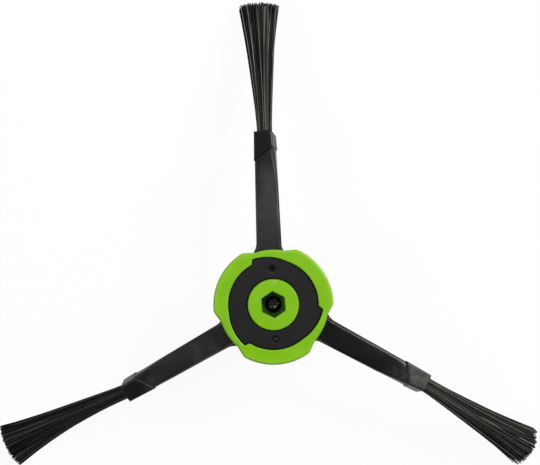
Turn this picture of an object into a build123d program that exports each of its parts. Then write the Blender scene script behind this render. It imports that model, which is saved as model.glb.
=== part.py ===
from build123d import *
import math
import os

# Three-armed side brush: a hard hub with a soft arm spider, three bristle tufts and a captive screw.
# Millimetres and degrees. Z is the drive axis and points at the machine. The origin is on the axis, level
# with the hub's top face, where the drive post enters. Angles are anticlockwise from +X, seen from above.

# Layout
SWEEP_RADIUS = 81.6       # circle that the unworn bristle tips sweep
ARM_COUNT = 3
HUB_ANGLE = 94.0          # direction of the first bridge and of one socket corner
ARM_ANGLES = (92.2, 210.0, 331.4)     # the soft arms have taken a set, so not quite a third of a turn apart
TUFT_LEANS = (-0.9, 4.3, 3.2)         # clockwise turn of each tuft against its arm
TUFT_WEAR = (0.2, 0.0, 1.4)           # off the tips of each tuft
ARM_OFFSET = 0.55         # the arms' centre lines pass this far from the axis

# Hub plate and rim
RIM_RADIUS = 16.0         # over the three lugs
LUG_STANDOUT = 1.35       # of the lugs past the bridges between them
BRIDGE_HALF_ANGLE = 15.0
LUG_GAP_HALF_ANGLE = 26.75
RIM_CORNER_RADIUS = 1.8   # in plan, where lugs and bridges meet
RIM_WALL = 1.35           # outside the trough, where it is thinnest
RIM_CHAMFER = 0.4         # top outer edge
PLATE_THICKNESS = 3.0
EDGE_BREAK = 0.2          # other top edges of the hub

# Trough in the plate, which holds the ring of the spider
TOOTH_HEIGHT = 1.23       # of the three ratchet-like steps in its outside
TOOTH_START_ANGLE = 23.0  # before the bridge's centre line
TOOTH_TIP_ANGLE = 21.0    # past the bridge's centre line
TOOTH_END_ANGLE = 24.5
TOOTH_CORNER_RADIUS = 0.4
TROUGH_DEPTH = 1.6
RING_RECESS = 0.5         # of the ring's face below the hub's
KEY_COUNT = 3             # windows in the trough's floor, filled by the rubber
KEY_LENGTH = 4.0
KEY_WIDTH = 2.4

# Boss, drive socket and screw seat
BOSS_RADIUS = 6.85
SOCKET_SIDES = 6
SOCKET_ACROSS_FLATS = 6.1
SOCKET_DEPTH = 5.2
WELL_DEPTH = 2.8          # round well under the socket, for the screw's thread
WELL_CLEARANCE = 0.3      # round the thread
SCREW_WEB = 1.4           # the floor that keeps the screw captive
COUNTERBORE_CLEARANCE = 0.4
HEAD_RECESS = 0.5         # of the screw's head inside the boss

# Captive screw
NECK_RADIUS = 1.52
NECK_CLEARANCE = 0.08
SCREW_PLAY = 0.3          # free travel along the axis
THREAD_RADIUS = 2.0
TIP_STANDOUT = 0.5        # of the thread above the socket's floor
TIP_CHAMFER = 0.7
HEAD_RADIUS = 3.5
HEAD_HEIGHT = 2.2
HEAD_CHAMFER = 0.5
RECESS_SPAN = 4.0         # cross recess, tip to tip
RECESS_WIDTH = 1.0
RECESS_DEPTH = 1.5

# Body of the spider, under the hub
BODY_SETBACK = 0.25       # from the bridges
BODY_BOTTOM_RADIUS = 9.5
BODY_WALL = 3.9           # height of its upright side
COLLAR_STANDOUT = 0.6     # of the boss below the body

# Arms
ARM_RUN = 17.0            # from the rim to where the arm starts to twist
ARM_THICKNESS = 3.4
ARM_ROOT_WIDTH = 6.75     # where the arm leaves the rim
ARM_WAIST_WIDTH = 6.15    # where it starts to twist
ARM_DROOP = 8.0           # from the rim on
ARM_CHAMFER = 0.7
LEADING_ROOT_FILLET = 4.5
TRAILING_ROOT_FILLET = 2.5
ROOT_WEB = 1.4            # thickness of the webs that fillet the arms into the body
ROOT_SINK = 0.2           # how far inside the body the webs start
TWIST_LENGTH = 6.5
TWIST_WIDTH = 5.3
TWIST_THICKNESS = 3.8
TWIST_OVERLAP = 3.0       # how far the arm runs on inside its ferrule

# Ferrules
FERRULE_LENGTH = 6.9
FERRULE_DROOP = 15.0
FERRULE_ROLL = 17.0       # clockwise edge up
FERRULE_INNER_WIDTH = 5.6
FERRULE_MOUTH_WIDTH = 5.1
FERRULE_THICKNESS = 4.6
FERRULE_ROUND = 0.6
FERRULE_CORNER = 0.7      # cut off the clockwise corner of the mouth
FERRULE_SIDE_WALL = 0.4
FERRULE_FLAT_WALL = 0.85
FERRULE_FLOOR = 1.0       # behind the tuft's plug
CREASE_ANGLE = 31.0
CREASE_SETBACK = 0.6

# Bristle tufts
FILAMENT_COUNT = 64
FILAMENT_SIDES = 4
FILAMENT_RADIUS = 0.19    # over its corners
FILAMENT_GRIP = 1.0       # how far a filament is sunk in its plug
PLUG_MARGIN = 0.05        # of the plug outside its filaments
TUFT_TIP_WIDTH = 12.0
TUFT_TIP_THICKNESS = 5.0

# Sizes that follow from those above
THIRD = 360.0 / ARM_COUNT
GOLDEN_ANGLE = 180.0 * (3.0 - math.sqrt(5.0))
BRIDGE_RADIUS = RIM_RADIUS - LUG_STANDOUT
TOOTH_RADIUS = BRIDGE_RADIUS - RIM_WALL
RING_RADIUS = TOOTH_RADIUS - TOOTH_HEIGHT
RING_MIDDLE = (BOSS_RADIUS + RING_RADIUS) / 2
PLATE_BOTTOM = -PLATE_THICKNESS
SOCKET_FLOOR = -SOCKET_DEPTH
WELL_FLOOR = SOCKET_FLOOR - WELL_DEPTH
HEAD_SEAT = WELL_FLOOR - SCREW_WEB
HEAD_TOP = HEAD_SEAT - SCREW_PLAY
HEAD_BOTTOM = HEAD_TOP - HEAD_HEIGHT
HUB_BOTTOM = HEAD_BOTTOM - HEAD_RECESS
BODY_BOTTOM = HUB_BOTTOM + COLLAR_STANDOUT
BODY_RADIUS = BRIDGE_RADIUS - BODY_SETBACK
TWIST_START = RIM_RADIUS + ARM_RUN
FERRULE_START = TWIST_START + TWIST_LENGTH
PLUG_WIDTH = FERRULE_MOUTH_WIDTH - 2 * FERRULE_SIDE_WALL
PLUG_THICKNESS = FERRULE_THICKNESS - 2 * FERRULE_FLAT_WALL
PLUG_LENGTH = FERRULE_LENGTH - FERRULE_FLOOR
TUFT_LENGTH = (SWEEP_RADIUS - FERRULE_START) / math.cos(math.radians(FERRULE_DROOP)) - FERRULE_LENGTH
ROOT_WIDTH = PLUG_WIDTH - 2 * (FILAMENT_RADIUS + PLUG_MARGIN)
ROOT_THICKNESS = PLUG_THICKNESS - 2 * (FILAMENT_RADIUS + PLUG_MARGIN)


def polar(radius, angle):
    """A point in plan."""
    return Vector(radius * math.cos(math.radians(angle)), radius * math.sin(math.radians(angle)))


def arc(radius, start, end):
    """An arc about the drive axis."""
    return ThreePointArc(polar(radius, start), polar(radius, (start + end) / 2), polar(radius, end))


def disc(radius, top, bottom):
    """A round solid on the drive axis, from one height down to another."""
    return Pos(0, 0, top) * extrude(Circle(radius), amount=bottom - top)


def rim_outline():
    """Outside of the hub plate: three lugs joined by three narrower bridges."""
    edges = []
    for index in range(ARM_COUNT):
        centre = HUB_ANGLE + index * THIRD
        bridge_end = centre + BRIDGE_HALF_ANGLE
        next_bridge = centre + THIRD - BRIDGE_HALF_ANGLE
        lug_start = centre + LUG_GAP_HALF_ANGLE
        lug_end = centre + THIRD - LUG_GAP_HALF_ANGLE
        edges.append(arc(BRIDGE_RADIUS, centre - BRIDGE_HALF_ANGLE, bridge_end))
        edges.append(Line(polar(BRIDGE_RADIUS, bridge_end), polar(RIM_RADIUS, lug_start)))
        edges.append(arc(RIM_RADIUS, lug_start, lug_end))
        edges.append(Line(polar(RIM_RADIUS, lug_end), polar(BRIDGE_RADIUS, next_bridge)))
    face = make_face(edges)
    return fillet(face.vertices(), RIM_CORNER_RADIUS)


def ring_outline():
    """Outside of the ring: a circle with a ramp and a step at each arm, like a ratchet."""
    edges = []
    for index in range(ARM_COUNT):
        centre = HUB_ANGLE + index * THIRD
        start = centre - TOOTH_START_ANGLE
        tip = centre + TOOTH_TIP_ANGLE
        end = centre + TOOTH_END_ANGLE
        ramp_middle = polar((RING_RADIUS + TOOTH_RADIUS) / 2, (start + tip) / 2)
        edges.append(ThreePointArc(polar(RING_RADIUS, start), ramp_middle, polar(TOOTH_RADIUS, tip)))
        edges.append(Line(polar(TOOTH_RADIUS, tip), polar(RING_RADIUS, end)))
        edges.append(arc(RING_RADIUS, end, start + THIRD))
    face = make_face(edges)
    return fillet(face.vertices(), TOOTH_CORNER_RADIUS)


def key_pins():
    """The rubber keys, and the holes that they fill."""
    pins = []
    for index in range(KEY_COUNT):
        place = Rot(Z=HUB_ANGLE + (index + 0.5) * 360.0 / KEY_COUNT) * Pos(RING_MIDDLE, 0, -TROUGH_DEPTH)
        pins.append(place * extrude(Rectangle(KEY_WIDTH, KEY_LENGTH), amount=PLATE_BOTTOM + TROUGH_DEPTH))
    return pins


def make_plate():
    """Plate of the hub with its chamfered rim, its trough and the windows for the keys."""
    plate = extrude(rim_outline(), amount=PLATE_BOTTOM)
    top = plate.faces().sort_by(Axis.Z)[-1]
    plate = chamfer(top.edges(), min(RIM_CHAMFER, RIM_WALL - EDGE_BREAK))
    plate -= extrude(ring_outline(), amount=-TROUGH_DEPTH)
    plate -= disc(BOSS_RADIUS, 0, PLATE_BOTTOM)
    return plate - key_pins()


def make_boss():
    """Boss of the hub: drive socket from above, then well, neck hole and counterbore for the screw."""
    boss = disc(BOSS_RADIUS, 0, HUB_BOTTOM)
    hexagon = Rot(Z=HUB_ANGLE) * RegularPolygon(SOCKET_ACROSS_FLATS / 2, SOCKET_SIDES, major_radius=False)
    boss -= extrude(hexagon, amount=SOCKET_FLOOR)
    boss = chamfer(boss.faces().sort_by(Axis.Z)[-1].edges(), EDGE_BREAK)
    boss -= disc(HEAD_RADIUS + COUNTERBORE_CLEARANCE, HEAD_SEAT, HUB_BOTTOM)
    boss -= disc(THREAD_RADIUS + WELL_CLEARANCE, SOCKET_FLOOR, WELL_FLOOR)
    return boss - disc(NECK_RADIUS + NECK_CLEARANCE, WELL_FLOOR, HEAD_SEAT)


def make_screw():
    """Captive screw: the thread's shoulder hangs on the well's floor, the head sits in the counterbore."""
    thread = disc(THREAD_RADIUS, SOCKET_FLOOR + TIP_STANDOUT, WELL_FLOOR)
    thread = chamfer(thread.edges().sort_by(Axis.Z)[-1], TIP_CHAMFER)
    neck = disc(NECK_RADIUS, WELL_FLOOR, HEAD_TOP)
    head = disc(HEAD_RADIUS, HEAD_TOP, HEAD_BOTTOM)
    head = chamfer(head.edges().sort_by(Axis.Z)[0], HEAD_CHAMFER)
    slot = Rectangle(RECESS_SPAN, RECESS_WIDTH)
    cross = extrude(slot + Rot(Z=90) * slot, amount=RECESS_DEPTH)
    return thread + neck + head - Pos(0, 0, HEAD_BOTTOM) * cross


def arm_place(angle):
    """Frame of an arm: Y outwards along its centre line, X to its clockwise side."""
    return Rot(Z=angle - 90) * Pos(-ARM_OFFSET, 0, 0)


def arm_top(distance):
    """Height of an arm's top face at a distance from the drive axis."""
    return PLATE_BOTTOM - (distance - RIM_RADIUS) * math.tan(math.radians(ARM_DROOP))


def arm_half_width(distance):
    """Half the width of an arm at a distance from the drive axis."""
    narrowing = (ARM_ROOT_WIDTH - ARM_WAIST_WIDTH) / ARM_RUN
    return (ARM_ROOT_WIDTH - narrowing * (distance - RIM_RADIUS)) / 2


def ferrule_place(angle):
    """Frame of a ferrule: Y along its axis, drooped and rolled against its arm."""
    middle = arm_top(FERRULE_START) - ARM_THICKNESS / 2
    droop = Rot(X=-FERRULE_DROOP)
    roll = Rot(Y=-FERRULE_ROLL)
    return arm_place(angle) * Pos(0, FERRULE_START, middle) * droop * roll


def root_plan():
    """Plan of the body with its arms, filleted where they leave it, out to the ends of the fillets."""
    web_radius = BODY_RADIUS - ROOT_SINK
    plan = Circle(web_radius)
    for angle in ARM_ANGLES:
        axis_half = arm_half_width(0)
        waist_half = arm_half_width(TWIST_START)
        corners = [
            (-axis_half, 0),
            (axis_half, 0),
            (waist_half, TWIST_START),
            (-waist_half, TWIST_START),
        ]
        plan += arm_place(angle) * make_face(Polyline(*corners, close=True))
    for side, radius in ((-1, LEADING_ROOT_FILLET), (1, TRAILING_ROOT_FILLET)):
        for angle in ARM_ANGLES:
            root = arm_place(angle) * Pos(side * arm_half_width(web_radius), web_radius, 0)
            corner = plan.vertices().sort_by_distance(root.position)[0]
            plan = fillet(corner, radius)
    return plan & Circle(web_radius + LEADING_ROOT_FILLET)


def make_body():
    """Soft body under the hub, with the webs that fillet the arms into it."""
    corners = [
        (BOSS_RADIUS, PLATE_BOTTOM),
        (BODY_RADIUS, PLATE_BOTTOM),
        (BODY_RADIUS, PLATE_BOTTOM - BODY_WALL),
        (BODY_BOTTOM_RADIUS, BODY_BOTTOM),
        (BOSS_RADIUS, BODY_BOTTOM),
    ]
    section = make_face(Polyline(*corners, close=True))
    web_top = arm_top(BODY_RADIUS + LEADING_ROOT_FILLET) - ARM_CHAMFER
    web = Pos(0, 0, web_top) * extrude(root_plan() - Circle(RING_MIDDLE), amount=-ROOT_WEB)
    return revolve(Plane.XZ * section, Axis.Z) + web


def arm_section(width, thickness):
    """Section across an arm, with its four edges broken."""
    outline = Rectangle(width, thickness)
    return Plane.XZ * chamfer(outline.vertices(), ARM_CHAMFER)


def make_arm(angle):
    """Arm with broken edges: level inside the body, drooping to its waist, then turning into its ferrule."""
    sections = []
    for distance in (RIM_RADIUS, TWIST_START):
        section = arm_section(2 * arm_half_width(distance), ARM_THICKNESS)
        middle = Pos(0, distance, arm_top(distance) - ARM_THICKNESS / 2)
        sections.append((arm_place(angle) * middle * section).face())
    section = arm_section(TWIST_WIDTH, TWIST_THICKNESS)
    sections.append((ferrule_place(angle) * Pos(0, TWIST_OVERLAP, 0) * section).face())
    root = extrude(sections[0], amount=RIM_RADIUS - RING_MIDDLE)
    return root + loft(sections, ruled=True)


def make_ferrule(angle):
    """Raised block at the arm's end, rolled, with its inner end cut aslant where it meets the arm."""
    slope = math.tan(math.radians(CREASE_ANGLE))
    inner = FERRULE_INNER_WIDTH / 2
    mouth = FERRULE_MOUTH_WIDTH / 2
    corners = [
        (-inner, CREASE_SETBACK - inner * slope),
        (inner, CREASE_SETBACK + inner * slope),
        (mouth, FERRULE_LENGTH),
        (-mouth, FERRULE_LENGTH),
    ]
    plan = make_face(Polyline(*corners, close=True))
    plan = chamfer(plan.vertices().sort_by_distance(corners[2])[0], FERRULE_CORNER)
    block = extrude(plan, amount=FERRULE_THICKNESS / 2, both=True)
    side_edges = ShapeList()
    for face in (block.faces().sort_by(Axis.Z)[0], block.faces().sort_by(Axis.Z)[-1]):
        side_edges += face.edges().sort_by(Axis.X)[:1] + face.edges().sort_by(Axis.X)[-1:]
    return ferrule_place(angle) * fillet(side_edges, FERRULE_ROUND)


def make_plug(angle):
    """Fused root of a tuft, which fills the ferrule's pocket."""
    section = Plane.XZ.offset(-FERRULE_LENGTH) * Rectangle(PLUG_WIDTH, PLUG_THICKNESS)
    return ferrule_place(angle) * extrude(section, amount=PLUG_LENGTH)


def make_spider():
    """Soft moulding: ring and keys in the hub, body under it, arms and ferrules."""
    spider = make_body()
    for angle in ARM_ANGLES:
        spider += make_arm(angle)
        spider += make_ferrule(angle)
        spider -= make_plug(angle)
    ring = extrude(ring_outline() - Circle(BOSS_RADIUS), amount=RING_RECESS - TROUGH_DEPTH)
    return spider + Pos(0, 0, -RING_RECESS) * ring + key_pins()


def make_tuft(angle, lean, wear):
    """Straight filaments that fan out of the plug: the tips are an enlarged copy of the roots."""
    length = TUFT_LENGTH - wear
    filaments = []
    for index in range(FILAMENT_COUNT):
        spread = math.sqrt((index + 0.5) / FILAMENT_COUNT) / 2
        across = spread * math.cos(math.radians(index * GOLDEN_ANGLE))
        upward = spread * math.sin(math.radians(index * GOLDEN_ANGLE))
        root = Vector(across * ROOT_WIDTH, -FILAMENT_GRIP, upward * ROOT_THICKNESS)
        tip = Vector(across * TUFT_TIP_WIDTH, length, upward * TUFT_TIP_THICKNESS)
        way = Plane(root, z_dir=tip.rotate(Axis.Z, -lean) - root)
        section = RegularPolygon(FILAMENT_RADIUS, FILAMENT_SIDES)
        filaments.append(way * extrude(section, amount=length + FILAMENT_GRIP))
    fan = ferrule_place(angle) * Pos(0, FERRULE_LENGTH, 0) * Compound(filaments)
    return make_plug(angle).fuse(*fan.solids())


os.makedirs("parts", exist_ok=True)
export_step(make_plate() + make_boss(), "parts/hub.step")
export_step(make_spider(), "parts/arm_spider.step")
export_step(make_screw(), "parts/captive_screw.step")
for number, tuft in enumerate(zip(ARM_ANGLES, TUFT_LEANS, TUFT_WEAR), start=1):
    export_step(make_tuft(*tuft), f"parts/bristle_tuft_{number}.step")
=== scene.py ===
# %% [markdown]
# Side brush of a robot vacuum cleaner
#
# The brush is a hard green hub, a soft black spider of three arms, three tufts of dark nylon and a small
# captive screw. The solids come from the construction model and stay where they are. This lesson gives
# them their looks: softened edges, real filaments instead of a coarse fan, and materials made of nodes.

# %% Load the frame
import math

import bmesh
import bpy
from mathutils import Matrix, Vector


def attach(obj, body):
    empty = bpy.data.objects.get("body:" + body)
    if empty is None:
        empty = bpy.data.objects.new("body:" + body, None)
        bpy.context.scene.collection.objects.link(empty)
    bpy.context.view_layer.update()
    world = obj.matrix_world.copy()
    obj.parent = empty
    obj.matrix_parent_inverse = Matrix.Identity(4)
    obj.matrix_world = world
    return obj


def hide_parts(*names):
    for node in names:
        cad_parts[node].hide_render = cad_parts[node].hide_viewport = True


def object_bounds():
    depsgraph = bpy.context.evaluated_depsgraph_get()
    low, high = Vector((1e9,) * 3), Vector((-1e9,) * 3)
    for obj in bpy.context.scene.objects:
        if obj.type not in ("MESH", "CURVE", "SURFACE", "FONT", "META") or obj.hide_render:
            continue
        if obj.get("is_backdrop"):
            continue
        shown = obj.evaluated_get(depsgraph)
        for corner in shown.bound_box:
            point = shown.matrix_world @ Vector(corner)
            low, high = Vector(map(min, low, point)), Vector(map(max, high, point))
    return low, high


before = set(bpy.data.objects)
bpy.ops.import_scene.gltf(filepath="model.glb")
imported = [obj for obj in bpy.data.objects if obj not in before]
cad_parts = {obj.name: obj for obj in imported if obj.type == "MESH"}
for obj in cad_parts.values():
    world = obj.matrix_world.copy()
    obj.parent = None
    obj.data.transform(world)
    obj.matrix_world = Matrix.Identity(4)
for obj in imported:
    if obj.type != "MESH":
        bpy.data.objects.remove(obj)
cad_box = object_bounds()
MM = 0.001


def in_mm(values):
    """Metres as millimetres, rounded for printing."""
    return [round(value / MM, 2) for value in values]


print("box", [in_mm(corner) for corner in cad_box])

# %% [markdown]
# Camera
#
# A product photograph of a flat brush is usually taken from straight above with a long lens, so that
# near and far parts keep the same scale. A camera could be aimed by a constraint, but one that looks
# straight down needs no turning at all: an unturned camera in Blender looks along -Z with +Y up.

# %% Camera
CAMERA_HEIGHT = 700 * MM
CAMERA_CENTRE = (-0.90 * MM, 19.22 * MM)
VIEW_WIDTH = 143.54 * MM          # what the frame takes in, level with the hub's face


def new_object(name, data):
    """A new object in the scene, at the origin."""
    thing = bpy.data.objects.new(name, data)
    bpy.context.scene.collection.objects.link(thing)
    return thing


camera_data = bpy.data.cameras.new("camera")
camera_data.lens = camera_data.sensor_width * CAMERA_HEIGHT / VIEW_WIDTH
camera = new_object("camera", camera_data)
camera.location = (*CAMERA_CENTRE, CAMERA_HEIGHT)
bpy.context.scene.camera = camera
print("lens", round(camera_data.lens, 1), "mm")

# %% [markdown]
# Colour and nodes
#
# Colours are written as sRGB hex values, as a picture editor shows them, but shaders count in linear
# light, so one function converts. A second one adds a node with its settings and links, and every
# material and the Geometry Nodes tree below are built with it. A socket goes by its name, or by its number
# where that is shorter or the name repeats. In a Map Range node, 0 is the value, 1 and 2 are the range that
# it comes from, and 3 and 4 the range that it goes to. In a Mix node, 0 is the share, and the two things
# that are mixed are 2 and 3 for numbers, 4 and 5 for vectors, and 6 and 7 for colours. Its outputs 0, 1
# and 2 are the mixed number, vector and colour. A Random Value node gives vectors at output 0 and numbers
# at output 1.


# %% Helpers for colours and nodes
def colour(code):
    """Linear RGBA of an sRGB hex colour such as 7CBB18, with the numbers of the sRGB standard."""
    channels = [int(code[start:start + 2], 16) / 255 for start in (0, 2, 4)]
    linear = [c / 12.92 if c <= 0.04045 else ((c + 0.055) / 1.055) ** 2.4 for c in channels]
    return (*linear, 1.0)


def add(tree, kind, links=None, **settings):
    """Add a node with its settings; a link's value is another node's output socket or a constant."""
    node = tree.nodes.new(kind)
    for name, value in settings.items():
        setattr(node, name, value)
    for socket, value in (links or {}).items():
        if isinstance(value, bpy.types.NodeSocket):
            tree.links.new(value, node.inputs[socket])
        else:
            node.inputs[socket].default_value = value
    return node


def per_metre(size_mm):
    """Scale of a texture whose features are this many millimetres apart."""
    return 1 / (size_mm * MM)


def new_material(name):
    """An empty node material: the material, its tree, its shader and its object coordinates."""
    material = bpy.data.materials.new(name)
    material.use_nodes = True
    tree = material.node_tree
    shader = tree.nodes["Principled BSDF"]
    place = add(tree, "ShaderNodeTexCoord").outputs["Object"]
    return material, tree, shader, place


print("7CBB18 is", [round(value, 3) for value in colour("7CBB18")])

# %% [markdown]
# Studio
#
# The photograph has a plain white ground. A sweep of white paper, flat under the brush and upright far
# from it, gives that from every side. The paper looks white to the camera and to reflections, through
# the Light Path node, and stays dimmer for all other rays, so that it doesn't light the brush from below.
# Part of it is still a plain diffuse surface, and that part keeps the shadow. The room above is dim, and
# the upright paper low, or the dark edges of the arms would mirror it.

# %% Paper sweep
SWEEP_RADIUS = 6.0
SWEEP_HEIGHT = 0.8
SWEEP_SIDES = 64
FLOOR_GAP = 0.02 * MM
floor_level = cad_box[0][2] - FLOOR_GAP
turns = [2 * math.pi * side / SWEEP_SIDES for side in range(SWEEP_SIDES)]
circle = [(SWEEP_RADIUS * math.cos(turn), SWEEP_RADIUS * math.sin(turn), floor_level) for turn in turns]
form = bmesh.new()
paper_edges = form.faces.new([form.verts.new(point) for point in circle]).edges[:]
raised = bmesh.ops.extrude_edge_only(form, edges=paper_edges)["geom"]
raised = [part for part in raised if isinstance(part, bmesh.types.BMVert)]
bmesh.ops.translate(form, verts=raised, vec=(0, 0, SWEEP_HEIGHT))
sweep_mesh = bpy.data.meshes.new("paper_sweep")
form.to_mesh(sweep_mesh)
form.free()
sweep = new_object("paper_sweep", sweep_mesh)
sweep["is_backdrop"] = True
print("paper at", round(floor_level / MM, 2), "mm")

# %% White paper
PAPER_GLOW = 0.94                 # 1 is white, and the diffuse part adds the rest
paper, tree, shader = new_material("white_paper_sweep")[:3]
shader.inputs["Base Color"].default_value = colour("454545")
shader.inputs["Roughness"].default_value = 0.9
shader.inputs["Specular IOR Level"].default_value = 0.0
shader.inputs["Emission Color"].default_value = colour("FFFFFF")
path = add(tree, "ShaderNodeLightPath").outputs
seen = {0: path["Is Camera Ray"], 1: path["Is Glossy Ray"]}
seen = add(tree, "ShaderNodeMath", seen, operation="MAXIMUM").outputs[0]
seen = {0: seen, 1: path["Is Transmission Ray"]}
seen = add(tree, "ShaderNodeMath", seen, operation="MAXIMUM").outputs[0]
glow = add(tree, "ShaderNodeMath", {0: seen, 1: PAPER_GLOW}, operation="MULTIPLY").outputs[0]
tree.links.new(glow, shader.inputs["Emission Strength"])
sweep_mesh.materials.append(paper)
print("material", paper.name)

# %% Dim room
ROOM_STRENGTH = 0.15
world = bpy.data.worlds.new("room")
bpy.context.scene.world = world
world.use_nodes = True
background = world.node_tree.nodes["Background"]
background.inputs["Color"].default_value = colour("FFFFFF")
background.inputs["Strength"].default_value = ROOM_STRENGTH
print("room at", ROOM_STRENGTH)

# %% [markdown]
# Lamps
#
# The black rubber shows where the light is: it is palest where a face leans to the top right of the
# frame, and nearly black where it leans away. So a large key lamp stands there, a second one stands high
# beyond the top of the frame, and a weak one at the left opens the shadows. All stand off the vertical,
# because a lamp right above would be mirrored in every flat face. Their strength is set so that a colour
# renders about as it is written, and the Standard view leaves it so.


# %% Lamps
def add_lamp(name, location, size, power):
    """A square area lamp that points at the hub."""
    data = bpy.data.lights.new(name, "AREA")
    data.size = size
    data.energy = power
    lamp = new_object(name, data)
    lamp.location = location
    lamp.rotation_euler = (-Vector(location)).to_track_quat("-Z", "Y").to_euler()
    print(name, "of", power, "watts")


add_lamp("key_lamp", location=(0.80, 0.60, 0.62), size=0.5, power=12.9)
add_lamp("high_lamp", location=(0.03, 0.36, 1.10), size=0.4, power=2.1)
add_lamp("fill_lamp", location=(-0.85, -0.10, 0.75), size=0.5, power=3.8)
bpy.context.scene.view_settings.view_transform = "Standard"

# %% [markdown]
# Green ABS, injection moulded
#
# The hub is moulded ABS: an even, saturated colour with a satin shine, faint cloudy flow marks a few
# millimetres wide and a fine texture from the mould. A paler band on the rim's outer edge is a painted
# highlight, and painted shade darkens the socket towards its floor. Colour could be painted by hand, but
# radius and depth from the object coordinates put both in the right place without any painting by hand.

# %% Green ABS
FLOW_SIZE = 5                     # in millimetres, as the size of every pattern
RIM_HIGHLIGHT_START = 14.2 * MM             # radii between which the rim's painted highlight grows
RIM_HIGHLIGHT_FULL = 16.2 * MM
RIM_HIGHLIGHT = 0.35
LEVEL = (1, 1, 0)                 # drops the height, so that a length becomes a radius
green_abs, tree, shader, place = new_material("green_abs_moulded")
flow = {"Vector": place, "Scale": per_metre(FLOW_SIZE), "Detail": 3.0}
flow = add(tree, "ShaderNodeTexNoise", flow).outputs[0]
green = {0: flow, 6: colour("78B608"), 7: colour("88CA12")}
green = add(tree, "ShaderNodeMix", green, data_type="RGBA").outputs[2]
across = add(tree, "ShaderNodeVectorMath", {0: place, 1: LEVEL}, operation="MULTIPLY").outputs[0]
radius = add(tree, "ShaderNodeVectorMath", {0: across}, operation="LENGTH").outputs["Value"]
# a paler green painted on the rim's rounded outer edge as a highlight
rim_highlight = add(tree, "ShaderNodeMapRange", {0: radius, 1: RIM_HIGHLIGHT_START, 2: RIM_HIGHLIGHT_FULL, 4: RIM_HIGHLIGHT}).outputs[0]
green = {0: rim_highlight, 6: green, 7: colour("A5D94A")}
green = add(tree, "ShaderNodeMix", green, data_type="RGBA").outputs[2]
print("flow marks of", FLOW_SIZE, "mm, rubbed at radii of", in_mm((RIM_HIGHLIGHT_START, RIM_HIGHLIGHT_FULL)), "mm")

# %% Painted shade in the socket
PAINTED_SHADE_RADIUS = 3.6 * MM           # just outside the socket's corners
PAINTED_SHADE_EDGE = 3.7 * MM
PAINTED_SHADE_START = -0.4 * MM           # heights between which it grows
PAINTED_SHADE_FULL = -5.2 * MM
PAINTED_SHADE = 0.82
height = add(tree, "ShaderNodeSeparateXYZ", {0: place}).outputs["Z"]
depth = add(tree, "ShaderNodeMapRange", {0: height, 1: PAINTED_SHADE_START, 2: PAINTED_SHADE_FULL}).outputs[0]
inside = add(tree, "ShaderNodeMapRange", {0: radius, 1: PAINTED_SHADE_EDGE, 2: PAINTED_SHADE_RADIUS, 4: PAINTED_SHADE}).outputs[0]
painted_shade = add(tree, "ShaderNodeMath", {0: depth, 1: inside}, operation="MULTIPLY").outputs[0]
# dark green painted shade, deepest at the socket's floor, where the socket lies in shade
green = {0: painted_shade, 6: green, 7: colour("0F3404")}
green = add(tree, "ShaderNodeMix", green, data_type="RGBA").outputs[2]
tree.links.new(green, shader.inputs["Base Color"])
print("grime at heights of", in_mm((PAINTED_SHADE_START, PAINTED_SHADE_FULL)), "mm")

# %% Satin shine and mould texture
SATIN = (0.22, 0.32)              # roughness of the skin
PAINTED_SHADE_ROUGHNESS = 0.8                       # roughness where the shade is painted
TEXTURE_SIZE = 0.5
EDGE_SAMPLES = 8                  # of the Bevel node, which rounds what is too fine for the mesh
shine = add(tree, "ShaderNodeMapRange", {0: flow, 3: SATIN[0], 4: SATIN[1]}).outputs[0]
shine = add(tree, "ShaderNodeMix", {0: painted_shade, 2: shine, 3: PAINTED_SHADE_ROUGHNESS}).outputs[0]
tree.links.new(shine, shader.inputs["Roughness"])
shader.inputs["IOR"].default_value = 1.54
shader.inputs["Specular IOR Level"].default_value = 0.30
grain = {"Vector": place, "Scale": per_metre(TEXTURE_SIZE), "Detail": 2.0}
grain = add(tree, "ShaderNodeTexNoise", grain).outputs[0]
rounded = add(tree, "ShaderNodeBevel", {"Radius": 0.25 * MM}, samples=EDGE_SAMPLES).outputs[0]
bump = {"Height": grain, "Strength": 0.08, "Distance": 0.05 * MM, "Normal": rounded}
tree.links.new(add(tree, "ShaderNodeBump", bump).outputs[0], shader.inputs["Normal"])
print("material", green_abs.name)

# %% [markdown]
# Black TPE, moulded
#
# The spider is soft black thermoplastic rubber. It has a matt skin, darkest on the protected ring and
# greyer on the arms, where rubbing and fine dust show as soft pale clouds. The right ferrule has a brown
# film that is partly dust and partly a painted highlight. The left arm is painted paler and the right arm
# darker near the hub, as painted light and shade, and the right arm is also made smoother there. Painted
# shade darkens the ring wherever it is lower than its face, which is in the seam round it and in two pin
# marks, both made below. The grain is drawn a little coarser than the real one, so that it shows at this
# size.

# %% Black TPE
ARM_START = 13.5 * MM             # radii between which the ring's colour turns into the arms'
ARM_FULL = 20 * MM
CLOUD_SIZE = 7
CLOUDS = (0.5, 0.8)               # noise values between which dust appears
CLOUD_DUST = 0.4
black_tpe, tree, shader, place = new_material("black_tpe_moulded")
across = add(tree, "ShaderNodeVectorMath", {0: place, 1: LEVEL}, operation="MULTIPLY").outputs[0]
radius = add(tree, "ShaderNodeVectorMath", {0: across}, operation="LENGTH").outputs["Value"]
outward = add(tree, "ShaderNodeMapRange", {0: radius, 1: ARM_START, 2: ARM_FULL}).outputs[0]
black = {0: outward, 6: colour("121112"), 7: colour("131314")}
black = add(tree, "ShaderNodeMix", black, data_type="RGBA").outputs[2]
cloud = {"Vector": place, "Scale": per_metre(CLOUD_SIZE), "Detail": 6.0, "Roughness": 0.65}
cloud = add(tree, "ShaderNodeTexNoise", cloud).outputs[0]
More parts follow.
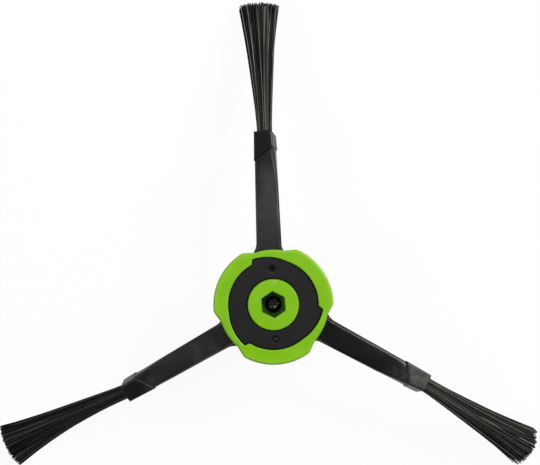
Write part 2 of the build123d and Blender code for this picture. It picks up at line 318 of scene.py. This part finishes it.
dust = add(tree, "ShaderNodeMapRange", {0: cloud, 1: CLOUDS[0], 2: CLOUDS[1], 4: CLOUD_DUST}).outputs[0]
dust = add(tree, "ShaderNodeMath", {0: dust, 1: outward}, operation="MULTIPLY").outputs[0]
print("clouds of dust", CLOUD_SIZE, "mm apart")

# %% Film of dust and painted highlight on the right ferrule
DUST_AND_HIGHLIGHT_CENTRE = (37.5 * MM, -20.8 * MM, -8.4 * MM)
FILM_EDGE = 9 * MM                # distances from its middle between which the film grows
FILM_FULL = 3 * MM
DUST_AND_HIGHLIGHT_FILM = 0.5
PATCH_SIZE = 1.6
PATCHES = (0.4, 0.7)              # noise values between which the film shows
away = add(tree, "ShaderNodeVectorMath", {0: place, 1: DUST_AND_HIGHLIGHT_CENTRE}, operation="DISTANCE").outputs["Value"]
film = add(tree, "ShaderNodeMapRange", {0: away, 1: FILM_EDGE, 2: FILM_FULL, 4: DUST_AND_HIGHLIGHT_FILM}).outputs[0]
patch = {"Vector": place, "Scale": per_metre(PATCH_SIZE), "Detail": 4.0}
patch = add(tree, "ShaderNodeTexNoise", patch).outputs[0]
patch = add(tree, "ShaderNodeMapRange", {0: patch, 1: PATCHES[0], 2: PATCHES[1]}).outputs[0]
film = add(tree, "ShaderNodeMath", {0: film, 1: patch}, operation="MULTIPLY").outputs[0]
# the film is partly dust and partly a painted highlight where the ferrule faces the light
dust = add(tree, "ShaderNodeMath", {0: dust, 1: film}, operation="MAXIMUM").outputs[0]
print("film of dust round", in_mm(DUST_AND_HIGHLIGHT_CENTRE), "mm")

# %% Painted light and shade on the arms
LEFT_ARM = (-6, -10, -32, -36)    # where the painted light and shade begin, are full, fade and end along X, in millimetres
RIGHT_ARM = (6, 10, 16, 38)
NO_WEAR_ABOVE = -1.5 * MM         # where the ring is
ALL_WEAR_BELOW = -2.5 * MM        # where the arms are
# the left arm is painted paler, as painted light
LEFT_ARM_PAINTED_LIGHT = 0.08
RIGHT_RUB = 0.18                  # how much smoother the right arm is
level = add(tree, "ShaderNodeSeparateXYZ", {0: place}).outputs["Z"]
aside = add(tree, "ShaderNodeSeparateXYZ", {0: place}).outputs["X"]
lower = add(tree, "ShaderNodeMapRange", {0: level, 1: NO_WEAR_ABOVE, 2: ALL_WEAR_BELOW}).outputs[0]
# masks of the left arm, painted paler, and of the right arm, painted darker and made smoother
worn = []
for start, full, fading, end in (LEFT_ARM, RIGHT_ARM):
    grows = add(tree, "ShaderNodeMapRange", {0: aside, 1: start * MM, 2: full * MM}).outputs[0]
    fades = add(tree, "ShaderNodeMapRange", {0: aside, 1: end * MM, 2: fading * MM}).outputs[0]
    on_arm = add(tree, "ShaderNodeMath", {0: grows, 1: fades}, operation="MULTIPLY").outputs[0]
    worn.append(add(tree, "ShaderNodeMath", {0: on_arm, 1: lower}, operation="MULTIPLY").outputs[0])
painted_light, rubbed = worn
# the right arm loses its dust near the hub, which paints shade on it there
outside_right_arm_shade = add(tree, "ShaderNodeMath", {0: 1.0, 1: rubbed}, operation="SUBTRACT").outputs[0]
dust = add(tree, "ShaderNodeMath", {0: dust, 1: outside_right_arm_shade}, operation="MULTIPLY").outputs[0]
dust = add(tree, "ShaderNodeMath", {0: painted_light, 1: LEFT_ARM_PAINTED_LIGHT, 2: dust}, operation="MULTIPLY_ADD").outputs[0]
# dust, together with the painted light of the left arm and the right ferrule and the painted shade of the
# right arm
black = {0: dust, 6: black, 7: colour("5A554C")}
black = add(tree, "ShaderNodeMix", black, data_type="RGBA").outputs[2]
print("left arm dusty by", LEFT_ARM_PAINTED_LIGHT, "right arm smoother by", RIGHT_RUB)

# %% Painted shade in the low places of the ring
RING_FACE = -0.5 * MM
RECESS_SHADE_START = RING_FACE - 0.01 * MM
RECESS_SHADE_FULL = RING_FACE - 0.06 * MM
RECESS_SHADE_LAST = RING_FACE - 0.5 * MM  # the hub hides what is lower
RECESS_SHADE_END = RECESS_SHADE_LAST - 0.1 * MM
low = add(tree, "ShaderNodeMapRange", {0: level, 1: RECESS_SHADE_START, 2: RECESS_SHADE_FULL}).outputs[0]
on_ring = add(tree, "ShaderNodeMapRange", {0: level, 1: RECESS_SHADE_END, 2: RECESS_SHADE_LAST}).outputs[0]
recess_shade = add(tree, "ShaderNodeMath", {0: low, 1: on_ring}, operation="MULTIPLY").outputs[0]
# near black painted shade in the seam round the ring and in the pin marks
black = {0: recess_shade, 6: black, 7: colour("040404")}
black = add(tree, "ShaderNodeMix", black, data_type="RGBA").outputs[2]
tree.links.new(black, shader.inputs["Base Color"])
print("dirt at heights of", in_mm((RECESS_SHADE_START, RECESS_SHADE_LAST)), "mm")

# %% Matt shine, grain and rounded edges of the rubber
MATT = (0.30, 0.44)               # roughness of the skin
RECESS_SHADE_ROUGHNESS = 1.0                       # roughness where the shade is painted
GRAIN_SIZE = 0.35
shine = add(tree, "ShaderNodeMapRange", {0: cloud, 3: MATT[0], 4: MATT[1]}).outputs[0]
shine = add(tree, "ShaderNodeMath", {0: rubbed, 1: -RIGHT_RUB, 2: shine}, operation="MULTIPLY_ADD").outputs[0]
shine = add(tree, "ShaderNodeMix", {0: recess_shade, 2: shine, 3: RECESS_SHADE_ROUGHNESS}).outputs[0]
tree.links.new(shine, shader.inputs["Roughness"])
shader.inputs["IOR"].default_value = 1.5
shader.inputs["Specular IOR Level"].default_value = 0.33
grain = {"Vector": place, "Scale": per_metre(GRAIN_SIZE), "Detail": 2.0}
grain = add(tree, "ShaderNodeTexNoise", grain).outputs[0]
rounded = add(tree, "ShaderNodeBevel", {"Radius": 0.4 * MM}, samples=EDGE_SAMPLES).outputs[0]
bump = {"Height": grain, "Strength": 0.15, "Distance": 0.08 * MM, "Normal": rounded}
tree.links.new(add(tree, "ShaderNodeBump", bump).outputs[0], shader.inputs["Normal"])
print("material", black_tpe.name)

# %% [markdown]
# Drawn nylon filament and plated steel
#
# A filament is drawn nylon, dark grey and slightly glossy along its length. No two look alike, so each
# carries a number called shade, made with the filament below, and a few are much paler than the rest.
# The screw is black zinc-plated steel: a dark metal with a cloudy plated skin, with pale spots at its tip
# that are partly bare steel and partly painted glints.

# %% Drawn nylon
DARKEST = "0B0A0A"
PALEST = "A8A39C"
BETWEEN = ((0.5, "151413"), (0.72, "383531"), (0.88, "6E6A64"))
STREAK_SIZE = 1.5
GLOSSY = (0.36, 0.52)             # roughness
nylon, tree, shader, place = new_material("nylon_filament_drawn")
shade = add(tree, "ShaderNodeAttribute", attribute_name="shade").outputs["Fac"]
ramp = add(tree, "ShaderNodeValToRGB", {0: shade})
ramp.color_ramp.elements[0].color = colour(DARKEST)
ramp.color_ramp.elements[1].color = colour(PALEST)
for position, code in BETWEEN:
    ramp.color_ramp.elements.new(position).color = colour(code)
tree.links.new(ramp.outputs[0], shader.inputs["Base Color"])
streak = {"Vector": place, "Scale": per_metre(STREAK_SIZE), "Detail": 2.0}
streak = add(tree, "ShaderNodeTexNoise", streak).outputs[0]
shine = add(tree, "ShaderNodeMapRange", {0: streak, 3: GLOSSY[0], 4: GLOSSY[1]}).outputs[0]
tree.links.new(shine, shader.inputs["Roughness"])
shader.inputs["IOR"].default_value = 1.53
shader.inputs["Specular IOR Level"].default_value = 0.18
print("material", nylon.name)

# %% Black zinc-plated steel
SKIN_SIZE = 0.8
BARE_AND_GLINT_SPOTS = (0.60, 0.66)         # noise values between which the plating is gone, partly as painted glints
TIP_START = -9.5 * MM             # heights between which the bare spots and painted glints at the tip grow
TIP_FULL = -8 * MM
LEAST_WEAR = 0.06
PLATED = (0.36, 0.56)             # roughness
plated_steel, tree, shader, place = new_material("black_zinc_plated_steel")
cloud = {"Vector": place, "Scale": per_metre(SKIN_SIZE), "Detail": 4.0}
cloud = add(tree, "ShaderNodeTexNoise", cloud).outputs[0]
skin = {0: cloud, 6: colour("202022"), 7: colour("3C3C40")}
skin = add(tree, "ShaderNodeMix", skin, data_type="RGBA").outputs[2]
bare_and_glint = add(tree, "ShaderNodeMapRange", {0: cloud, 1: BARE_AND_GLINT_SPOTS[0], 2: BARE_AND_GLINT_SPOTS[1]}).outputs[0]
height = add(tree, "ShaderNodeSeparateXYZ", {0: place}).outputs["Z"]
tip_wear_and_glint = add(tree, "ShaderNodeMapRange", {0: height, 1: TIP_START, 2: TIP_FULL, 3: LEAST_WEAR}).outputs[0]
bare_and_glint = add(tree, "ShaderNodeMath", {0: bare_and_glint, 1: tip_wear_and_glint}, operation="MULTIPLY").outputs[0]
# pale bare steel, partly wear and partly painted glints
skin = add(tree, "ShaderNodeMix", {0: bare_and_glint, 6: skin, 7: colour("D4D3D0")}, data_type="RGBA").outputs[2]
tree.links.new(skin, shader.inputs["Base Color"])
shine = add(tree, "ShaderNodeMapRange", {0: cloud, 3: PLATED[0], 4: PLATED[1]}).outputs[0]
tree.links.new(shine, shader.inputs["Roughness"])
shader.inputs["Metallic"].default_value = 1.0
bump = {"Height": cloud, "Strength": 0.8, "Distance": 0.25 * MM}
tree.links.new(add(tree, "ShaderNodeBump", bump).outputs[0], shader.inputs["Normal"])
print("material", plated_steel.name)

# %% [markdown]
# Softened mouldings
#
# A moulded edge is never razor sharp, and light catches on its small radius. The solids have flat
# chamfers or plain corners there. They arrive as loose triangles, so a copy is merged first, and flat
# neighbours are joined into single faces. On the hub and the screw a Bevel modifier then rounds the real
# edges. The spider's arms run into its body and its ferrules at odd angles, where a modifier would tear
# the mesh, so its edges are rounded by the Bevel node of its material instead. Where a flat arm turns
# into its ferrule, weighted normals let the larger face decide, so that the arm looks flat up to there.

# %% Merged copies of the solids
MERGE_DISTANCE = 0.002 * MM
FLAT_ANGLE = math.radians(0.5)    # faces that meet at less are one face
SHARP_ANGLE = math.radians(24)    # faces that meet at more have a real edge between them


def merged_copy(node, name, material, body):
    """A merged copy of a solid, smooth between its real edges, that stands for the solid."""
    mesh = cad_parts[node].data.copy()
    mesh.name = name
    mesh.materials.clear()
    mesh.materials.append(material)
    form = bmesh.new()
    form.from_mesh(mesh)
    bmesh.ops.remove_doubles(form, verts=form.verts, dist=MERGE_DISTANCE)
    bmesh.ops.dissolve_limit(form, angle_limit=FLAT_ANGLE, verts=form.verts, edges=form.edges)
    for face in form.faces:
        face.smooth = True
    form.to_mesh(mesh)
    form.free()
    mesh.set_sharp_from_angle(angle=SHARP_ANGLE)
    piece = new_object(name, mesh)
    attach(piece, body)
    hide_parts(node)
    print(name, len(mesh.polygons), "faces")
    return piece


hub = merged_copy("hub", "moulded_hub", green_abs, "brush")
spider = merged_copy("arm_spider", "moulded_spider", black_tpe, "brush")
screw = merged_copy("captive_screw", "plated_screw", plated_steel, "screw")

# %% Round the hard edges
HUB_ROUNDING = 0.18 * MM
SCREW_ROUNDING = 0.1 * MM
ROUNDING_STEPS = 3


def apply_modifiers(piece):
    """Keep what the modifiers made as a plain mesh."""
    mesh = bpy.data.meshes.new_from_object(piece.evaluated_get(bpy.context.evaluated_depsgraph_get()))
    piece.modifiers.clear()
    piece.data = mesh
    print(piece.name, len(mesh.polygons), "faces")


def round_edges(piece, width):
    """Round the real edges of a hard piece."""
    bevel = piece.modifiers.new("soft edges", "BEVEL")
    bevel.width = width
    bevel.segments = ROUNDING_STEPS
    bevel.limit_method = "ANGLE"
    bevel.angle_limit = SHARP_ANGLE
    bevel.use_clamp_overlap = False
    bevel.harden_normals = True
    apply_modifiers(piece)


round_edges(hub, HUB_ROUNDING)
round_edges(screw, SCREW_ROUNDING)

# %% [markdown]
# Seam round the ring
#
# The ring is soft rubber in a hard trough, and its edges are rounded, so a fine seam is left along both.
# A Bevel modifier could make it, but two steps on the ring's face are simpler: an inset draws a line just
# inside its border, and the border itself is lowered.

# %% Lower the border of the ring
SEAM_WIDTH = 0.32 * MM
SEAM_DEPTH = 0.3 * MM
LEVEL_FACE = 0.999                # least upward part of the normal of a level face
SAME_HEIGHT = 0.01 * MM
form = bmesh.new()
form.from_mesh(spider.data)
form.normal_update()
level_faces = [face for face in form.faces if face.normal.z > LEVEL_FACE]
ring_faces = [face for face in level_faces if abs(face.calc_center_median().z - RING_FACE) < SAME_HEIGHT]
seam = bmesh.ops.inset_region(form, faces=ring_faces, thickness=SEAM_WIDTH, use_even_offset=True)["faces"]
inner = {vert for face in ring_faces for vert in face.verts}
border = {vert for face in seam for vert in face.verts} - inner
for vert in border:
    vert.co.z -= SEAM_DEPTH
form.to_mesh(spider.data)
form.free()
print("seam of", len(seam), "faces", len(border), "points lowered")

# %% [markdown]
# Pin marks
#
# The pins that pushed the moulding out of its mould left two marks on the ring. One is a shallow round
# dent, the other a fine groove in a circle. Both could be painted on, but a dent that is cut also shows
# from the side. A ring and a shallow cone are made where the marks are, and a Boolean modifier takes them
# out of the spider.

# %% Shapes of the pin marks
CIRCLE_CENTRE = (0.64 * MM, -9.22 * MM, RING_FACE)
CIRCLE_RADIUS = 0.8 * MM
CIRCLE_STEPS = 36
GROOVE = 0.17 * MM
GROOVE_SIDES = 10
DENT_CENTRE = (-0.32 * MM, 9.6 * MM, RING_FACE)
DENT_RADIUS = 0.95 * MM
DENT_DEPTH = 0.35 * MM
DENT_TAPER = 0.2
DENT_SIDES = 28
form = bmesh.new()
stand = Matrix.Translation((CIRCLE_RADIUS, 0, 0)) @ Matrix.Rotation(math.pi / 2, 4, "X")
section = bmesh.ops.create_circle(form, segments=GROOVE_SIDES, radius=GROOVE, matrix=stand)["verts"]
bmesh.ops.spin(
    form, geom=section + list(form.edges), cent=(0, 0, 0), axis=(0, 0, 1), angle=2 * math.pi,
    steps=CIRCLE_STEPS, use_merge=True)
bmesh.ops.translate(form, verts=form.verts, vec=CIRCLE_CENTRE)
bmesh.ops.create_cone(
    form, cap_ends=True, segments=DENT_SIDES, radius1=(1 - DENT_TAPER) * DENT_RADIUS,
    radius2=(1 + DENT_TAPER) * DENT_RADIUS, depth=2 * DENT_DEPTH, matrix=Matrix.Translation(DENT_CENTRE))
bmesh.ops.recalc_face_normals(form, faces=form.faces)
cutter_mesh = bpy.data.meshes.new("pin_marks")
form.to_mesh(cutter_mesh)
form.free()
print("pin marks of", len(cutter_mesh.polygons), "faces")

# %% Cut the pin marks
cutter = new_object("pin_marks", cutter_mesh)
cut = spider.modifiers.new("pin marks", "BOOLEAN")
cut.object = cutter
cut.operation = "DIFFERENCE"
apply_modifiers(spider)
bpy.data.objects.remove(cutter)

# %% Flat faces of the spider stay flat
spider.data.set_sharp_from_angle(angle=SHARP_ANGLE)
spider.modifiers.new("flat faces first", "WEIGHTED_NORMAL").keep_sharp = True
apply_modifiers(spider)

# %% [markdown]
# Tufts
#
# Each ferrule holds a flat bundle of drawn filaments. They leave it side by side, run straight for a few
# millimetres and then flare, and use has left their tips ragged and clumped. Hair curves could make
# them, but a Geometry Nodes tree gives named sizes and a fixed seed, and its result is a plain mesh. A
# golden-angle spiral spreads the roots evenly, as seeds sit in a sunflower. The tree works in millimetres,
# with Y out of the ferrule, X across the tuft and Z through its thickness.

# %% Tree of the tufts
INPUTS = {
    "Filaments": "Int",           # how many there are
    "Length": "Float",            # from the mouth of the ferrule to the tips
    "Start": "Float",             # where the filaments begin, which is inside the ferrule
    "Plug Size": "Vector",
    "Root Size": "Vector",        # width and thickness of the bundle at its root
    "Tip Size": "Vector",
    "Lean": "Vector",             # the direction in which the tuft runs
    "Flare": "Float",             # the higher, the longer the bundle stays narrow
    "Bow": "Float",               # how far its middle is bent aside
    "Crown": "Float",             # makes both sides shorter, by a quarter of it
    "Slant": "Float",             # how much longer it is at one side
    "Ragged": "Float",            # the most that wear takes off a filament
    "Clump": "Float",             # how far neighbouring tips are pulled together
    "Stray": "Float",             # how far a tip strays by itself
    "Sway": "Float",              # how far the middle of a filament does
    # how much paler or darker the tuft is painted, for the light that falls on it
    "Painted Light": "Float",
    "Radius": "Float",            # of a filament
    "Seed": "Int",
    "Material": "Material",
}
tuft_tree = bpy.data.node_groups.new("tuft", "GeometryNodeTree")
sockets = {}
for name, kind in INPUTS.items():
    socket = tuft_tree.interface.new_socket(name=name, in_out="INPUT", socket_type="NodeSocket" + kind)
    sockets[name] = socket.identifier
tuft_tree.interface.new_socket(name="Geometry", in_out="OUTPUT", socket_type="NodeSocketGeometry")
given = add(tuft_tree, "NodeGroupInput").outputs
print("tuft inputs", list(sockets))

# %% Roots on a golden-angle spiral
GOLDEN_ANGLE = math.pi * (3 - math.sqrt(5))
HALF_STEP = 0.5
HALF_WIDTH = 0.5                  # makes the spiral 1 wide
index = add(tuft_tree, "GeometryNodeInputIndex").outputs[0]
share = add(tuft_tree, "ShaderNodeMath", {0: index, 1: HALF_STEP}, operation="ADD").outputs[0]
share = add(tuft_tree, "ShaderNodeMath", {0: share, 1: given["Filaments"]}, operation="DIVIDE").outputs[0]
spread = add(tuft_tree, "ShaderNodeMath", {0: share}, operation="SQRT").outputs[0]
turn = add(tuft_tree, "ShaderNodeMath", {0: index, 1: GOLDEN_ANGLE}, operation="MULTIPLY").outputs[0]
cosine = add(tuft_tree, "ShaderNodeMath", {0: turn}, operation="COSINE").outputs[0]
sine = add(tuft_tree, "ShaderNodeMath", {0: turn}, operation="SINE").outputs[0]
direction = add(tuft_tree, "ShaderNodeCombineXYZ", {"X": cosine, "Z": sine}).outputs[0]
root = add(tuft_tree, "ShaderNodeVectorMath", {0: direction, "Scale": spread}, operation="SCALE").outputs[0]
root = add(tuft_tree, "ShaderNodeVectorMath", {0: root, "Scale": HALF_WIDTH}, operation="SCALE").outputs[0]
print("roots use", len(tuft_tree.nodes), "nodes")

# %% What each filament remembers
SWAY_SEED = 11
SHADE_SEED = 7
stray = {0: (-1, -1, -1), 1: (1, 1, 1), "Seed": given["Seed"]}
stray = add(tuft_tree, "FunctionNodeRandomValue", stray, data_type="FLOAT_VECTOR").outputs[0]
worn = add(tuft_tree, "FunctionNodeRandomValue", {"Seed": given["Seed"]}, data_type="FLOAT").outputs[1]
sway = {0: (-1, 0, -1), 1: (1, 0, 1), "Seed": SWAY_SEED}
sway = add(tuft_tree, "FunctionNodeRandomValue", sway, data_type="FLOAT_VECTOR").outputs[0]
tone = {"ID": index, "Seed": SHADE_SEED}
tone = add(tuft_tree, "FunctionNodeRandomValue", tone, data_type="FLOAT").outputs[1]
# each tuft's painted light scales the tone of its filaments
tone = add(tuft_tree, "ShaderNodeMath", {0: tone, 1: given["Painted Light"]}, operation="MULTIPLY").outputs[0]
points = add(tuft_tree, "GeometryNodePoints", {"Count": given["Filaments"]}).outputs[0]
remembered = {
    "root": ("FLOAT_VECTOR", root),
    "stray": ("FLOAT_VECTOR", stray),
    "sway": ("FLOAT_VECTOR", sway),
    "worn": ("FLOAT", worn),
    "shade": ("FLOAT", tone),
}
for name, (kind, value) in remembered.items():
    stored = {"Geometry": points, "Name": name, "Value": value}
    points = add(tuft_tree, "GeometryNodeStoreNamedAttribute", stored, data_type=kind).outputs[0]
print("with their numbers", len(tuft_tree.nodes), "nodes")

# %% One curve a root
BENDS = 11                        # points along a filament
line = add(tuft_tree, "GeometryNodeCurvePrimitiveLine", {"End": (0, 1, 0)}).outputs[0]
line = add(tuft_tree, "GeometryNodeResampleCurve", {"Curve": line, "Count": BENDS}).outputs[0]
curves = add(tuft_tree, "GeometryNodeInstanceOnPoints", {"Points": points, "Instance": line}).outputs[0]
curves = add(tuft_tree, "GeometryNodeRealizeInstances", {0: curves}).outputs[0]
along = add(tuft_tree, "GeometryNodeSplineParameter").outputs["Factor"]
own = {}
for name in ("root", "stray", "sway", "worn"):
    kind = remembered[name][0]
    own[name] = add(tuft_tree, "GeometryNodeInputNamedAttribute", {"Name": name}, data_type=kind).outputs[0]
print("curves use", len(tuft_tree.nodes), "nodes")

# %% Width, length and lean
WEAR_POWER = 3.0                  # few filaments are worn much
flare = add(tuft_tree, "ShaderNodeMath", {0: along, 1: given["Flare"]}, operation="POWER").outputs[0]
size = {0: flare, 4: given["Root Size"], 5: given["Tip Size"]}
size = add(tuft_tree, "ShaderNodeMix", size, data_type="VECTOR").outputs[1]
place = add(tuft_tree, "ShaderNodeVectorMath", {0: own["root"], 1: size}, operation="MULTIPLY").outputs[0]
worn = add(tuft_tree, "ShaderNodeMath", {0: own["worn"], 1: WEAR_POWER}, operation="POWER").outputs[0]
worn = add(tuft_tree, "ShaderNodeMath", {0: worn, 1: given["Ragged"]}, operation="MULTIPLY").outputs[0]
reach = add(tuft_tree, "ShaderNodeMath", {0: given["Length"], 1: worn}, operation="SUBTRACT").outputs[0]
side = add(tuft_tree, "ShaderNodeSeparateXYZ", {0: own["root"]}).outputs["X"]
slant = add(tuft_tree, "ShaderNodeMath", {0: side, 1: given["Slant"]}, operation="MULTIPLY").outputs[0]
reach = add(tuft_tree, "ShaderNodeMath", {0: reach, 1: slant}, operation="ADD").outputs[0]
edge = add(tuft_tree, "ShaderNodeMath", {0: side, 1: side}, operation="MULTIPLY").outputs[0]
edge = add(tuft_tree, "ShaderNodeMath", {0: edge, 1: given["Crown"]}, operation="MULTIPLY").outputs[0]
reach = add(tuft_tree, "ShaderNodeMath", {0: reach, 1: edge}, operation="SUBTRACT").outputs[0]
outward = add(tuft_tree, "ShaderNodeMix", {0: along, 2: given["Start"], 3: reach}).outputs[0]
run = {0: given["Lean"], "Scale": outward}
run = add(tuft_tree, "ShaderNodeVectorMath", run, operation="SCALE").outputs[0]
place = add(tuft_tree, "ShaderNodeVectorMath", {0: place, 1: run}, operation="ADD").outputs[0]
print("with their lengths", len(tuft_tree.nodes), "nodes")

# %% Clumps and strays
CLUMP_SPACING = 0.2               # share of the tuft's width, since roots are counted in widths
NOISE_MIDDLE = (0.5, 0.5, 0.5)
SIDEWAYS = (1, 0, 1)              # across the tuft and through it, not along it
pattern = {"Vector": own["root"], "W": given["Seed"], "Scale": 1 / CLUMP_SPACING, "Detail": 0.0}
pattern = add(tuft_tree, "ShaderNodeTexNoise", pattern, noise_dimensions="4D").outputs["Color"]
pull = add(tuft_tree, "ShaderNodeVectorMath", {0: pattern, 1: NOISE_MIDDLE}, operation="SUBTRACT").outputs[0]
pull = {0: pull, "Scale": given["Clump"]}
pull = add(tuft_tree, "ShaderNodeVectorMath", pull, operation="SCALE").outputs[0]
wander = {0: own["stray"], "Scale": given["Stray"]}
wander = add(tuft_tree, "ShaderNodeVectorMath", wander, operation="SCALE").outputs[0]
wander = add(tuft_tree, "ShaderNodeVectorMath", {0: wander, 1: pull}, operation="ADD").outputs[0]
wander = add(tuft_tree, "ShaderNodeVectorMath", {0: wander, 1: SIDEWAYS}, operation="MULTIPLY").outputs[0]
wander = add(tuft_tree, "ShaderNodeVectorMath", {0: wander, "Scale": flare}, operation="SCALE").outputs[0]
place = add(tuft_tree, "ShaderNodeVectorMath", {0: place, 1: wander}, operation="ADD").outputs[0]
print("with clumps", len(tuft_tree.nodes), "nodes")

# %% Bowed filaments
bow = add(tuft_tree, "ShaderNodeMath", {0: along, 1: math.pi}, operation="MULTIPLY").outputs[0]
bow = add(tuft_tree, "ShaderNodeMath", {0: bow}, operation="SINE").outputs[0]
sway = {0: own["sway"], "Scale": given["Sway"]}
sway = add(tuft_tree, "ShaderNodeVectorMath", sway, operation="SCALE").outputs[0]
bent = add(tuft_tree, "ShaderNodeCombineXYZ", {"X": given["Bow"]}).outputs[0]
sway = add(tuft_tree, "ShaderNodeVectorMath", {0: sway, 1: bent}, operation="ADD").outputs[0]
sway = add(tuft_tree, "ShaderNodeVectorMath", {0: sway, "Scale": bow}, operation="SCALE").outputs[0]
place = add(tuft_tree, "ShaderNodeVectorMath", {0: place, 1: sway}, operation="ADD").outputs[0]
curves = add(tuft_tree, "GeometryNodeSetPosition", {"Geometry": curves, "Position": place}).outputs[0]
print("with bows", len(tuft_tree.nodes), "nodes")

# %% Round filaments and the fused plug
FILAMENT_SIDES = 5
BACK_HALF = (0, -0.5, 0)          # puts the plug's front face at the mouth
profile = {"Resolution": FILAMENT_SIDES, "Radius": given["Radius"]}
profile = add(tuft_tree, "GeometryNodeCurvePrimitiveCircle", profile).outputs[0]
strands = {"Curve": curves, "Profile Curve": profile, "Fill Caps": True}
strands = add(tuft_tree, "GeometryNodeCurveToMesh", strands).outputs[0]
strands = add(tuft_tree, "GeometryNodeSetShadeSmooth", {"Geometry": strands}).outputs[0]
plug = add(tuft_tree, "GeometryNodeMeshCube", {"Size": given["Plug Size"]}).outputs[0]
sunk = {0: given["Plug Size"], 1: BACK_HALF}
sunk = add(tuft_tree, "ShaderNodeVectorMath", sunk, operation="MULTIPLY").outputs[0]
plug = add(tuft_tree, "GeometryNodeTransform", {"Geometry": plug, "Translation": sunk}).outputs[0]
bundle = add(tuft_tree, "GeometryNodeJoinGeometry", {0: strands})
tuft_tree.links.new(plug, bundle.inputs[0])
strands = add(tuft_tree, "GeometryNodeRealizeInstances", {0: bundle.outputs[0]}).outputs[0]
strands = {"Geometry": strands, "Material": given["Material"]}
strands = add(tuft_tree, "GeometryNodeSetMaterial", strands).outputs[0]
add(tuft_tree, "NodeGroupOutput", {0: strands})
print("the tree has", len(tuft_tree.nodes), "nodes")

# %% [markdown]
# Placing the tufts
#
# A tuft starts at the mouth of its ferrule, which droops and is rolled against its arm. The same turns
# that place the ferrule place the tuft: round the drive axis, out along the arm, down, and a roll. The
# tufts differ, as the photograph shows: each has its own length and lean, and the right one is the most
# worn. All sizes here are in millimetres and degrees, and the finished mesh is scaled to metres.

# %% Ferrule mouths
ARM_OFFSET = 0.55
ARM_THICKNESS = 3.4
ARM_DROOP = 8.0
PLATE_BOTTOM = -3.0
RIM_RADIUS = 16.0
FERRULE_START = 39.5
FERRULE_LENGTH = 6.9
FERRULE_DROOP = 15.0
FERRULE_ROLL = 17.0


def ferrule_mouth(arm_angle):
    """Matrix, in millimetres, of the mouth of a ferrule: Y out of it, X to its clockwise side."""
    drop = (FERRULE_START - RIM_RADIUS) * math.tan(math.radians(ARM_DROOP))
    middle = PLATE_BOTTOM - drop - ARM_THICKNESS / 2
    turned = Matrix.Rotation(math.radians(arm_angle - 90), 4, "Z")
    out = Matrix.Translation((-ARM_OFFSET, FERRULE_START, middle))
    droop = Matrix.Rotation(math.radians(-FERRULE_DROOP), 4, "X")
    roll = Matrix.Rotation(math.radians(-FERRULE_ROLL), 4, "Y")
    return turned @ out @ droop @ roll @ Matrix.Translation((0, FERRULE_LENGTH, 0))


print("ferrules from", FERRULE_START, "mm, each", FERRULE_LENGTH, "mm long")

# %% What all tufts share, and how they differ
TIP_THICKNESS = 4.4
SHARED = {
    "Filaments": 420,
    "Start": -1.0,
    "Plug Size": (4.3, 5.9, 2.9),
    "Root Size": (4.0, 0.0, 2.6),
    "Sway": 0.35,
    "Radius": 0.115,
    "Material": nylon,
}
TUFTS = (
    {"Arm": 92.2, "Lean": -0.6, "Length": 36.55, "Width": 11.1, "Flare": 1.6, "Bow": 0.05},
    {"Arm": 210.0, "Lean": 4.6, "Length": 37.2, "Width": 12.8, "Flare": 2.0, "Bow": 0.5},
    {"Arm": 331.4, "Lean": 3.1, "Length": 35.8, "Width": 10.8, "Flare": 1.7, "Bow": 0.2},
)
# the column of painted light makes each tuft paler or darker, for the light that falls on it
WEAR = (
    {"Crown": 0.8, "Slant": -1.1, "Ragged": 1.2, "Clump": 1.0, "Stray": 0.45, "Painted Light": 1.02, "Seed": 3},
    {"Crown": 3.0, "Slant": -1.9, "Ragged": 0.2, "Clump": 0.45, "Stray": 0.35, "Painted Light": 0.88, "Seed": 5},
    {"Crown": 4.8, "Slant": -0.8, "Ragged": 2.2, "Clump": 1.0, "Stray": 0.45, "Painted Light": 0.97, "Seed": 8},
)
for shape in TUFTS:
    print("mouth at", [round(value, 2) for value in ferrule_mouth(shape["Arm"]).translation], "mm")


# %% Grow the tufts
def grow_tuft(number, shape, wear):
    """One tuft, as a plain mesh in its ferrule."""
    name = f"nylon_tuft_{number}"
    tuft = new_object(name, bpy.data.meshes.new(name))
    modifier = tuft.modifiers.new("filaments", "NODES")
    modifier.node_group = tuft_tree
    values = {**SHARED, **shape, **wear}
    lean = math.radians(values["Lean"])
    values["Lean"] = (math.sin(lean), math.cos(lean), 0.0)
    values["Tip Size"] = (values.pop("Width"), 0.0, TIP_THICKNESS)
    arm_angle = values.pop("Arm")
    for title, value in values.items():
        modifier[sockets[title]] = value
    apply_modifiers(tuft)
    tuft.data.transform(Matrix.Scale(MM, 4) @ ferrule_mouth(arm_angle))
    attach(tuft, "brush")
    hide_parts(f"bristle_tuft_{number}")


for number, (shape, wear) in enumerate(zip(TUFTS, WEAR), start=1):
    grow_tuft(number, shape, wear)

# %% [markdown]
# Sizes
#
# The finished looks must not be larger than the construction model, so both boxes are printed.

# %% Print both boxes
visual_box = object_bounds()
for title, box in (("solids", cad_box), ("looks", visual_box)):
    print(title, [in_mm(corner) for corner in box])
